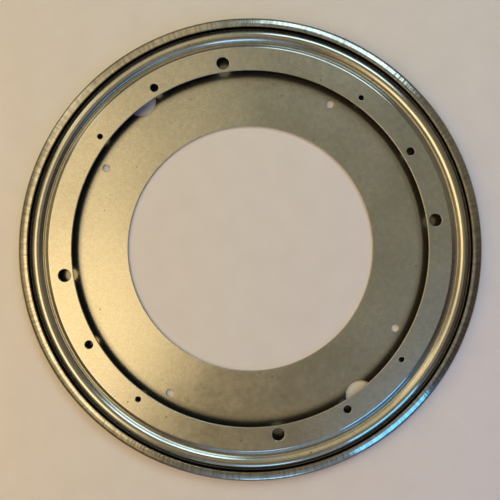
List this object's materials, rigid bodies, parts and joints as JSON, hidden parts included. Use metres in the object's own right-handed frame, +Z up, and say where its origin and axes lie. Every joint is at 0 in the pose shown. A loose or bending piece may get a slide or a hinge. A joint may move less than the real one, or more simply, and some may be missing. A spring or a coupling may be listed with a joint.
{
  "type": "thrust ball bearing",
  "caption": "Flat round turntable bearing of pressed sheet steel: a ring-shaped top plate turns on balls, trapped under the curled rim of a wider base plate.",
  "frame": {"origin": "centre of the base plate's underside, on the turning axis", "axes": "+Z up, out of the load face, along the turning axis; +X and +Y lie in the base plate"},
  "size_m": [0.3048, 0.3048, 0.008],
  "materials": {
    "galvanised_base": "smooth galvanised sheet, satin",
    "galvanised_top": "smooth galvanised sheet, satin",
    "ball_steel": "polished hardened steel",
    "retainer_nylon": "natural moulded nylon"
  },
  "bodies": {
    "base_plate": {"base_plate": "galvanised_base"},
    "top_plate": {"top_plate": "galvanised_top"},
    "ball_retainer": {"ball_retainer": "retainer_nylon"},
    "ball_01": {"ball_01": "ball_steel"},
    "ball_02": {"ball_02": "ball_steel"},
    "ball_03": {"ball_03": "ball_steel"},
    "ball_04": {"ball_04": "ball_steel"},
    "ball_05": {"ball_05": "ball_steel"},
    "ball_06": {"ball_06": "ball_steel"},
    "ball_07": {"ball_07": "ball_steel"},
    "ball_08": {"ball_08": "ball_steel"},
    "ball_09": {"ball_09": "ball_steel"},
    "ball_10": {"ball_10": "ball_steel"},
    "ball_11": {"ball_11": "ball_steel"},
    "ball_12": {"ball_12": "ball_steel"},
    "ball_13": {"ball_13": "ball_steel"},
    "ball_14": {"ball_14": "ball_steel"},
    "ball_15": {"ball_15": "ball_steel"},
    "ball_16": {"ball_16": "ball_steel"},
    "ball_17": {"ball_17": "ball_steel"},
    "ball_18": {"ball_18": "ball_steel"},
    "ball_19": {"ball_19": "ball_steel"},
    "ball_20": {"ball_20": "ball_steel"},
    "ball_21": {"ball_21": "ball_steel"},
    "ball_22": {"ball_22": "ball_steel"},
    "ball_23": {"ball_23": "ball_steel"},
    "ball_24": {"ball_24": "ball_steel"},
    "ball_25": {"ball_25": "ball_steel"},
    "ball_26": {"ball_26": "ball_steel"},
    "ball_27": {"ball_27": "ball_steel"},
    "ball_28": {"ball_28": "ball_steel"},
    "ball_29": {"ball_29": "ball_steel"},
    "ball_30": {"ball_30": "ball_steel"},
    "ball_31": {"ball_31": "ball_steel"},
    "ball_32": {"ball_32": "ball_steel"},
    "ball_33": {"ball_33": "ball_steel"},
    "ball_34": {"ball_34": "ball_steel"},
    "ball_35": {"ball_35": "ball_steel"},
    "ball_36": {"ball_36": "ball_steel"},
    "ball_37": {"ball_37": "ball_steel"},
    "ball_38": {"ball_38": "ball_steel"},
    "ball_39": {"ball_39": "ball_steel"},
    "ball_40": {"ball_40": "ball_steel"},
    "ball_41": {"ball_41": "ball_steel"},
    "ball_42": {"ball_42": "ball_steel"},
    "ball_43": {"ball_43": "ball_steel"},
    "ball_44": {"ball_44": "ball_steel"},
    "ball_45": {"ball_45": "ball_steel"},
    "ball_46": {"ball_46": "ball_steel"},
    "ball_47": {"ball_47": "ball_steel"},
    "ball_48": {"ball_48": "ball_steel"}
  },
  "joints": [
    {"name": "top_plate_spin", "type": "hinge", "parent": "base_plate", "child": "top_plate", "pos_m": [0, 0, 0.004], "axis": [0, 0, 1], "continuous": true},
    {"name": "retainer_spin", "type": "hinge", "parent": "base_plate", "child": "ball_retainer", "pos_m": [0, 0, 0.004], "axis": [0, 0, 1], "continuous": true},
    {"name": "ball_01_roll", "type": "hinge", "parent": "ball_retainer", "child": "ball_01", "pos_m": [0.1386, 0.01825, 0.00398], "axis": [0.9914, 0.1305, 0], "continuous": true},
    {"name": "ball_02_roll", "type": "hinge", "parent": "ball_retainer", "child": "ball_02", "pos_m": [0.13504, 0.03618, 0.00398], "axis": [0.9659, 0.2588, 0], "continuous": true},
    {"name": "ball_03_roll", "type": "hinge", "parent": "ball_retainer", "child": "ball_03", "pos_m": [0.12916, 0.0535, 0.00398], "axis": [0.9239, 0.3827, 0], "continuous": true},
    {"name": "ball_04_roll", "type": "hinge", "parent": "ball_retainer", "child": "ball_04", "pos_m": [0.12107, 0.0699, 0.00398], "axis": [0.866, 0.5, 0], "continuous": true},
    {"name": "ball_05_roll", "type": "hinge", "parent": "ball_retainer", "child": "ball_05", "pos_m": [0.11091, 0.08511, 0.00398], "axis": [0.7934, 0.6088, 0], "continuous": true},
    {"name": "ball_06_roll", "type": "hinge", "parent": "ball_retainer", "child": "ball_06", "pos_m": [0.09885, 0.09885, 0.00398], "axis": [0.7071, 0.7071, 0], "continuous": true},
    {"name": "ball_07_roll", "type": "hinge", "parent": "ball_retainer", "child": "ball_07", "pos_m": [0.08511, 0.11091, 0.00398], "axis": [0.6088, 0.7934, 0], "continuous": true},
    {"name": "ball_08_roll", "type": "hinge", "parent": "ball_retainer", "child": "ball_08", "pos_m": [0.0699, 0.12107, 0.00398], "axis": [0.5, 0.866, 0], "continuous": true},
    {"name": "ball_09_roll", "type": "hinge", "parent": "ball_retainer", "child": "ball_09", "pos_m": [0.0535, 0.12916, 0.00398], "axis": [0.3827, 0.9239, 0], "continuous": true},
    {"name": "ball_10_roll", "type": "hinge", "parent": "ball_retainer", "child": "ball_10", "pos_m": [0.03618, 0.13504, 0.00398], "axis": [0.2588, 0.9659, 0], "continuous": true},
    {"name": "ball_11_roll", "type": "hinge", "parent": "ball_retainer", "child": "ball_11", "pos_m": [0.01825, 0.1386, 0.00398], "axis": [0.1305, 0.9914, 0], "continuous": true},
    {"name": "ball_12_roll", "type": "hinge", "parent": "ball_retainer", "child": "ball_12", "pos_m": [0, 0.1398, 0.00398], "axis": [0, 1, 0], "continuous": true},
    {"name": "ball_13_roll", "type": "hinge", "parent": "ball_retainer", "child": "ball_13", "pos_m": [-0.01825, 0.1386, 0.00398], "axis": [-0.1305, 0.9914, 0], "continuous": true},
    {"name": "ball_14_roll", "type": "hinge", "parent": "ball_retainer", "child": "ball_14", "pos_m": [-0.03618, 0.13504, 0.00398], "axis": [-0.2588, 0.9659, 0], "continuous": true},
    {"name": "ball_15_roll", "type": "hinge", "parent": "ball_retainer", "child": "ball_15", "pos_m": [-0.0535, 0.12916, 0.00398], "axis": [-0.3827, 0.9239, 0], "continuous": true},
    {"name": "ball_16_roll", "type": "hinge", "parent": "ball_retainer", "child": "ball_16", "pos_m": [-0.0699, 0.12107, 0.00398], "axis": [-0.5, 0.866, 0], "continuous": true},
    {"name": "ball_17_roll", "type": "hinge", "parent": "ball_retainer", "child": "ball_17", "pos_m": [-0.08511, 0.11091, 0.00398], "axis": [-0.6088, 0.7934, 0], "continuous": true},
    {"name": "ball_18_roll", "type": "hinge", "parent": "ball_retainer", "child": "ball_18", "pos_m": [-0.09885, 0.09885, 0.00398], "axis": [-0.7071, 0.7071, 0], "continuous": true},
    {"name": "ball_19_roll", "type": "hinge", "parent": "ball_retainer", "child": "ball_19", "pos_m": [-0.11091, 0.08511, 0.00398], "axis": [-0.7934, 0.6088, 0], "continuous": true},
    {"name": "ball_20_roll", "type": "hinge", "parent": "ball_retainer", "child": "ball_20", "pos_m": [-0.12107, 0.0699, 0.00398], "axis": [-0.866, 0.5, 0], "continuous": true},
    {"name": "ball_21_roll", "type": "hinge", "parent": "ball_retainer", "child": "ball_21", "pos_m": [-0.12916, 0.0535, 0.00398], "axis": [-0.9239, 0.3827, 0], "continuous": true},
    {"name": "ball_22_roll", "type": "hinge", "parent": "ball_retainer", "child": "ball_22", "pos_m": [-0.13504, 0.03618, 0.00398], "axis": [-0.9659, 0.2588, 0], "continuous": true},
    {"name": "ball_23_roll", "type": "hinge", "parent": "ball_retainer", "child": "ball_23", "pos_m": [-0.1386, 0.01825, 0.00398], "axis": [-0.9914, 0.1305, 0], "continuous": true},
    {"name": "ball_24_roll", "type": "hinge", "parent": "ball_retainer", "child": "ball_24", "pos_m": [-0.1398, 0, 0.00398], "axis": [-1, 0, 0], "continuous": true},
    {"name": "ball_25_roll", "type": "hinge", "parent": "ball_retainer", "child": "ball_25", "pos_m": [-0.1386, -0.01825, 0.00398], "axis": [-0.9914, -0.1305, 0], "continuous": true},
    {"name": "ball_26_roll", "type": "hinge", "parent": "ball_retainer", "child": "ball_26", "pos_m": [-0.13504, -0.03618, 0.00398], "axis": [-0.9659, -0.2588, 0], "continuous": true},
    {"name": "ball_27_roll", "type": "hinge", "parent": "ball_retainer", "child": "ball_27", "pos_m": [-0.12916, -0.0535, 0.00398], "axis": [-0.9239, -0.3827, 0], "continuous": true},
    {"name": "ball_28_roll", "type": "hinge", "parent": "ball_retainer", "child": "ball_28", "pos_m": [-0.12107, -0.0699, 0.00398], "axis": [-0.866, -0.5, 0], "continuous": true},
    {"name": "ball_29_roll", "type": "hinge", "parent": "ball_retainer", "child": "ball_29", "pos_m": [-0.11091, -0.08511, 0.00398], "axis": [-0.7934, -0.6088, 0], "continuous": true},
    {"name": "ball_30_roll", "type": "hinge", "parent": "ball_retainer", "child": "ball_30", "pos_m": [-0.09885, -0.09885, 0.00398], "axis": [-0.7071, -0.7071, 0], "continuous": true},
    {"name": "ball_31_roll", "type": "hinge", "parent": "ball_retainer", "child": "ball_31", "pos_m": [-0.08511, -0.11091, 0.00398], "axis": [-0.6088, -0.7934, 0], "continuous": true},
    {"name": "ball_32_roll", "type": "hinge", "parent": "ball_retainer", "child": "ball_32", "pos_m": [-0.0699, -0.12107, 0.00398], "axis": [-0.5, -0.866, 0], "continuous": true},
    {"name": "ball_33_roll", "type": "hinge", "parent": "ball_retainer", "child": "ball_33", "pos_m": [-0.0535, -0.12916, 0.00398], "axis": [-0.3827, -0.9239, 0], "continuous": true},
    {"name": "ball_34_roll", "type": "hinge", "parent": "ball_retainer", "child": "ball_34", "pos_m": [-0.03618, -0.13504, 0.00398], "axis": [-0.2588, -0.9659, 0], "continuous": true},
    {"name": "ball_35_roll", "type": "hinge", "parent": "ball_retainer", "child": "ball_35", "pos_m": [-0.01825, -0.1386, 0.00398], "axis": [-0.1305, -0.9914, 0], "continuous": true},
    {"name": "ball_36_roll", "type": "hinge", "parent": "ball_retainer", "child": "ball_36", "pos_m": [0, -0.1398, 0.00398], "axis": [0, -1, 0], "continuous": true},
    {"name": "ball_37_roll", "type": "hinge", "parent": "ball_retainer", "child": "ball_37", "pos_m": [0.01825, -0.1386, 0.00398], "axis": [0.1305, -0.9914, 0], "continuous": true},
    {"name": "ball_38_roll", "type": "hinge", "parent": "ball_retainer", "child": "ball_38", "pos_m": [0.03618, -0.13504, 0.00398], "axis": [0.2588, -0.9659, 0], "continuous": true},
    {"name": "ball_39_roll", "type": "hinge", "parent": "ball_retainer", "child": "ball_39", "pos_m": [0.0535, -0.12916, 0.00398], "axis": [0.3827, -0.9239, 0], "continuous": true},
    {"name": "ball_40_roll", "type": "hinge", "parent": "ball_retainer", "child": "ball_40", "pos_m": [0.0699, -0.12107, 0.00398], "axis": [0.5, -0.866, 0], "continuous": true},
    {"name": "ball_41_roll", "type": "hinge", "parent": "ball_retainer", "child": "ball_41", "pos_m": [0.08511, -0.11091, 0.00398], "axis": [0.6088, -0.7934, 0], "continuous": true},
    {"name": "ball_42_roll", "type": "hinge", "parent": "ball_retainer", "child": "ball_42", "pos_m": [0.09885, -0.09885, 0.00398], "axis": [0.7071, -0.7071, 0], "continuous": true},
    {"name": "ball_43_roll", "type": "hinge", "parent": "ball_retainer", "child": "ball_43", "pos_m": [0.11091, -0.08511, 0.00398], "axis": [0.7934, -0.6088, 0], "continuous": true},
    {"name": "ball_44_roll", "type": "hinge", "parent": "ball_retainer", "child": "ball_44", "pos_m": [0.12107, -0.0699, 0.00398], "axis": [0.866, -0.5, 0], "continuous": true},
    {"name": "ball_45_roll", "type": "hinge", "parent": "ball_retainer", "child": "ball_45", "pos_m": [0.12916, -0.0535, 0.00398], "axis": [0.9239, -0.3827, 0], "continuous": true},
    {"name": "ball_46_roll", "type": "hinge", "parent": "ball_retainer", "child": "ball_46", "pos_m": [0.13504, -0.03618, 0.00398], "axis": [0.9659, -0.2588, 0], "continuous": true},
    {"name": "ball_47_roll", "type": "hinge", "parent": "ball_retainer", "child": "ball_47", "pos_m": [0.1386, -0.01825, 0.00398], "axis": [0.9914, -0.1305, 0], "continuous": true},
    {"name": "ball_48_roll", "type": "hinge", "parent": "ball_retainer", "child": "ball_48", "pos_m": [0.1398, 0, 0.00398], "axis": [1, 0, 0], "continuous": true}
  ],
  "couplings": [
    {"joint": "retainer_spin", "follows": "top_plate_spin", "ratio": 0.5},
    {"joint": "ball_01_roll", "follows": "top_plate_spin", "ratio": -25.418},
    {"joint": "ball_02_roll", "follows": "top_plate_spin", "ratio": -25.418},
    {"joint": "ball_03_roll", "follows": "top_plate_spin", "ratio": -25.418},
    {"joint": "ball_04_roll", "follows": "top_plate_spin", "ratio": -25.418},
    {"joint": "ball_05_roll", "follows": "top_plate_spin", "ratio": -25.418},
    {"joint": "ball_06_roll", "follows": "top_plate_spin", "ratio": -25.418},
    {"joint": "ball_07_roll", "follows": "top_plate_spin", "ratio": -25.418},
    {"joint": "ball_08_roll", "follows": "top_plate_spin", "ratio": -25.418},
    {"joint": "ball_09_roll", "follows": "top_plate_spin", "ratio": -25.418},
    {"joint": "ball_10_roll", "follows": "top_plate_spin", "ratio": -25.418},
    {"joint": "ball_11_roll", "follows": "top_plate_spin", "ratio": -25.418},
    {"joint": "ball_12_roll", "follows": "top_plate_spin", "ratio": -25.418},
    {"joint": "ball_13_roll", "follows": "top_plate_spin", "ratio": -25.418},
    {"joint": "ball_14_roll", "follows": "top_plate_spin", "ratio": -25.418},
    {"joint": "ball_15_roll", "follows": "top_plate_spin", "ratio": -25.418},
    {"joint": "ball_16_roll", "follows": "top_plate_spin", "ratio": -25.418},
    {"joint": "ball_17_roll", "follows": "top_plate_spin", "ratio": -25.418},
    {"joint": "ball_18_roll", "follows": "top_plate_spin", "ratio": -25.418},
    {"joint": "ball_19_roll", "follows": "top_plate_spin", "ratio": -25.418},
    {"joint": "ball_20_roll", "follows": "top_plate_spin", "ratio": -25.418},
    {"joint": "ball_21_roll", "follows": "top_plate_spin", "ratio": -25.418},
    {"joint": "ball_22_roll", "follows": "top_plate_spin", "ratio": -25.418},
    {"joint": "ball_23_roll", "follows": "top_plate_spin", "ratio": -25.418},
    {"joint": "ball_24_roll", "follows": "top_plate_spin", "ratio": -25.418},
    {"joint": "ball_25_roll", "follows": "top_plate_spin", "ratio": -25.418},
    {"joint": "ball_26_roll", "follows": "top_plate_spin", "ratio": -25.418},
    {"joint": "ball_27_roll", "follows": "top_plate_spin", "ratio": -25.418},
    {"joint": "ball_28_roll", "follows": "top_plate_spin", "ratio": -25.418},
    {"joint": "ball_29_roll", "follows": "top_plate_spin", "ratio": -25.418},
    {"joint": "ball_30_roll", "follows": "top_plate_spin", "ratio": -25.418},
    {"joint": "ball_31_roll", "follows": "top_plate_spin", "ratio": -25.418},
    {"joint": "ball_32_roll", "follows": "top_plate_spin", "ratio": -25.418},
    {"joint": "ball_33_roll", "follows": "top_plate_spin", "ratio": -25.418},
    {"joint": "ball_34_roll", "follows": "top_plate_spin", "ratio": -25.418},
    {"joint": "ball_35_roll", "follows": "top_plate_spin", "ratio": -25.418},
    {"joint": "ball_36_roll", "follows": "top_plate_spin", "ratio": -25.418},
    {"joint": "ball_37_roll", "follows": "top_plate_spin", "ratio": -25.418},
    {"joint": "ball_38_roll", "follows": "top_plate_spin", "ratio": -25.418},
    {"joint": "ball_39_roll", "follows": "top_plate_spin", "ratio": -25.418},
    {"joint": "ball_40_roll", "follows": "top_plate_spin", "ratio": -25.418},
    {"joint": "ball_41_roll", "follows": "top_plate_spin", "ratio": -25.418},
    {"joint": "ball_42_roll", "follows": "top_plate_spin", "ratio": -25.418},
    {"joint": "ball_43_roll", "follows": "top_plate_spin", "ratio": -25.418},
    {"joint": "ball_44_roll", "follows": "top_plate_spin", "ratio": -25.418},
    {"joint": "ball_45_roll", "follows": "top_plate_spin", "ratio": -25.418},
    {"joint": "ball_46_roll", "follows": "top_plate_spin", "ratio": -25.418},
    {"joint": "ball_47_roll", "follows": "top_plate_spin", "ratio": -25.418},
    {"joint": "ball_48_roll", "follows": "top_plate_spin", "ratio": -25.418}
  ]
}
